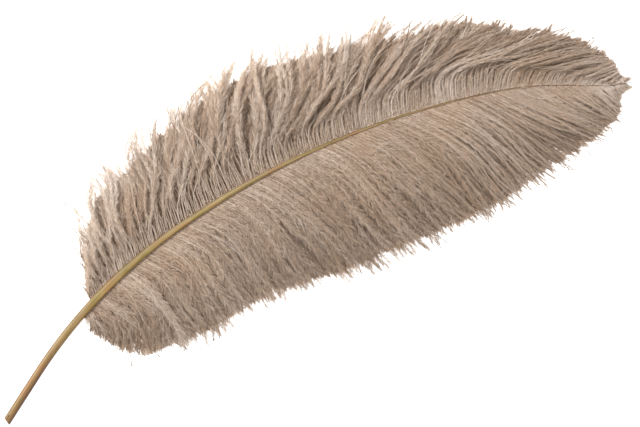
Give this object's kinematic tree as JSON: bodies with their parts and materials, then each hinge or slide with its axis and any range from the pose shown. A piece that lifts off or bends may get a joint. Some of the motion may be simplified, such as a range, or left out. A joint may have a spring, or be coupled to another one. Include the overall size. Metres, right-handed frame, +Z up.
{
  "type": "quill pen",
  "caption": "Curved plume with soft vanes along a tapered shaft and a hollow bare barrel, cut aslant and split into two writing tines.",
  "frame": {"origin": "centre of the bounding box, on the plane that the plume lies on", "axes": "+X from the cut end to the tip, +Y towards the upper vane's side, +Z up, away from the surface that the plume lies on"},
  "size_m": [0.5042, 0.1734, 0.0191],
  "materials": {
    "barrel_horn": "satin horn, tan, pinker towards the cut end",
    "shaft_horn": "satin horn, olive gold, darker and thinner towards the tip",
    "membrane": "dry, thin and wrinkled",
    "pith": "dry white foam",
    "vane": "soft taupe barbs with fine fringed barbules",
    "down": "short soft down, darker than the vane"
  },
  "bodies": {
    "plume": {"quill_barrel": "barrel_horn", "pulp_caps": "membrane", "shaft": "shaft_horn", "shaft_pith": "pith", "upper_vane_1": "vane", "upper_vane_2": "vane", "upper_vane_3": "vane", "upper_vane_4": "vane", "upper_vane_5": "vane", "upper_vane_6": "vane", "upper_vane_7": "vane", "upper_vane_8": "vane", "upper_vane_9": "vane", "upper_vane_10": "vane", "lower_vane_1": "vane", "lower_vane_2": "vane", "lower_vane_3": "vane", "lower_vane_4": "vane", "lower_vane_5": "vane", "lower_vane_6": "vane", "lower_vane_7": "vane", "lower_vane_8": "vane", "lower_vane_9": "vane", "lower_vane_10": "vane", "base_down": "down", "tip_barbs": "vane"},
    "upper_tongue": {"upper_tine": "barrel_horn"},
    "lower_tongue": {"lower_tine": "barrel_horn"}
  },
  "joints": [
    {"name": "lower_tine_flex", "type": "hinge", "parent": "plume", "child": "lower_tongue", "pos_m": [-0.24591, -0.05329, 0.0029], "axis": [0, 0, 1], "range_deg": [0, 4], "stiffness_Nm_per_rad": 0.02},
    {"name": "upper_tine_flex", "type": "hinge", "parent": "plume", "child": "upper_tongue", "pos_m": [-0.24869, -0.0482, 0.0029], "axis": [0, 0, -1], "range_deg": [0, 4], "stiffness_Nm_per_rad": 0.02}
  ]
}
